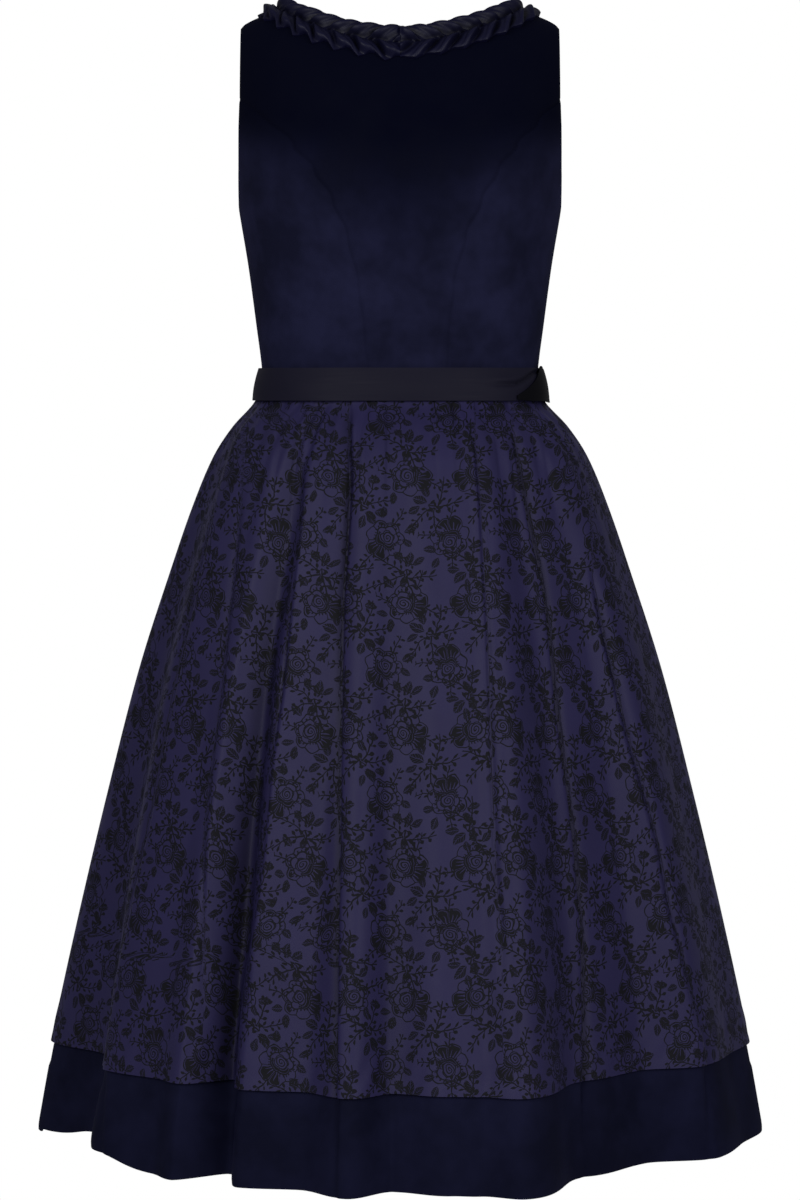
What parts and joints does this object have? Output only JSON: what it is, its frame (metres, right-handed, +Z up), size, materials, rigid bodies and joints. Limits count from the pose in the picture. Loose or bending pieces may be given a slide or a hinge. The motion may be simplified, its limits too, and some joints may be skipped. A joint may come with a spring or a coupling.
{
  "type": "dirndl with apron",
  "caption": "Worn-shape sleeveless dirndl: velvet bodice with ruched round neck, full folded skirt, rose-patterned gathered apron with satin band.",
  "frame": {"origin": "midway between the two shoulder seams, at the height of the seams near the shoulder tips", "axes": "+Z up along the garment, +X to the viewer's right as seen from the front, the front faces -Y"},
  "size_m": [0.7324, 0.6213, 1.1298],
  "materials": {
    "velvet": "navy cotton velvet, short dense pile",
    "jacquard": "two-tone rose jacquard, dull sheen",
    "satin": "black satin ribbon, soft gloss",
    "ruche": "navy satin, pleated by hand"
  },
  "bodies": {
    "root": {"bodice_front_centre": "velvet", "bodice_front_side_left": "velvet", "bodice_front_side_right": "velvet", "bodice_back_centre_left": "velvet", "bodice_back_centre_right": "velvet", "bodice_back_side_left": "velvet", "bodice_back_side_right": "velvet", "skirt_side_left": "velvet", "skirt_front_left": "velvet", "skirt_front_right": "velvet", "skirt_side_right": "velvet", "skirt_back_side_right": "velvet", "skirt_back_right": "velvet", "skirt_back_left": "velvet", "skirt_back_side_left": "velvet", "apron_panel": "jacquard", "apron_band": "satin", "apron_tie_back": "satin", "apron_tie_end": "satin", "neck_ruche_left": "ruche", "neck_ruche_right": "ruche"}
  },
  "joints": []
}
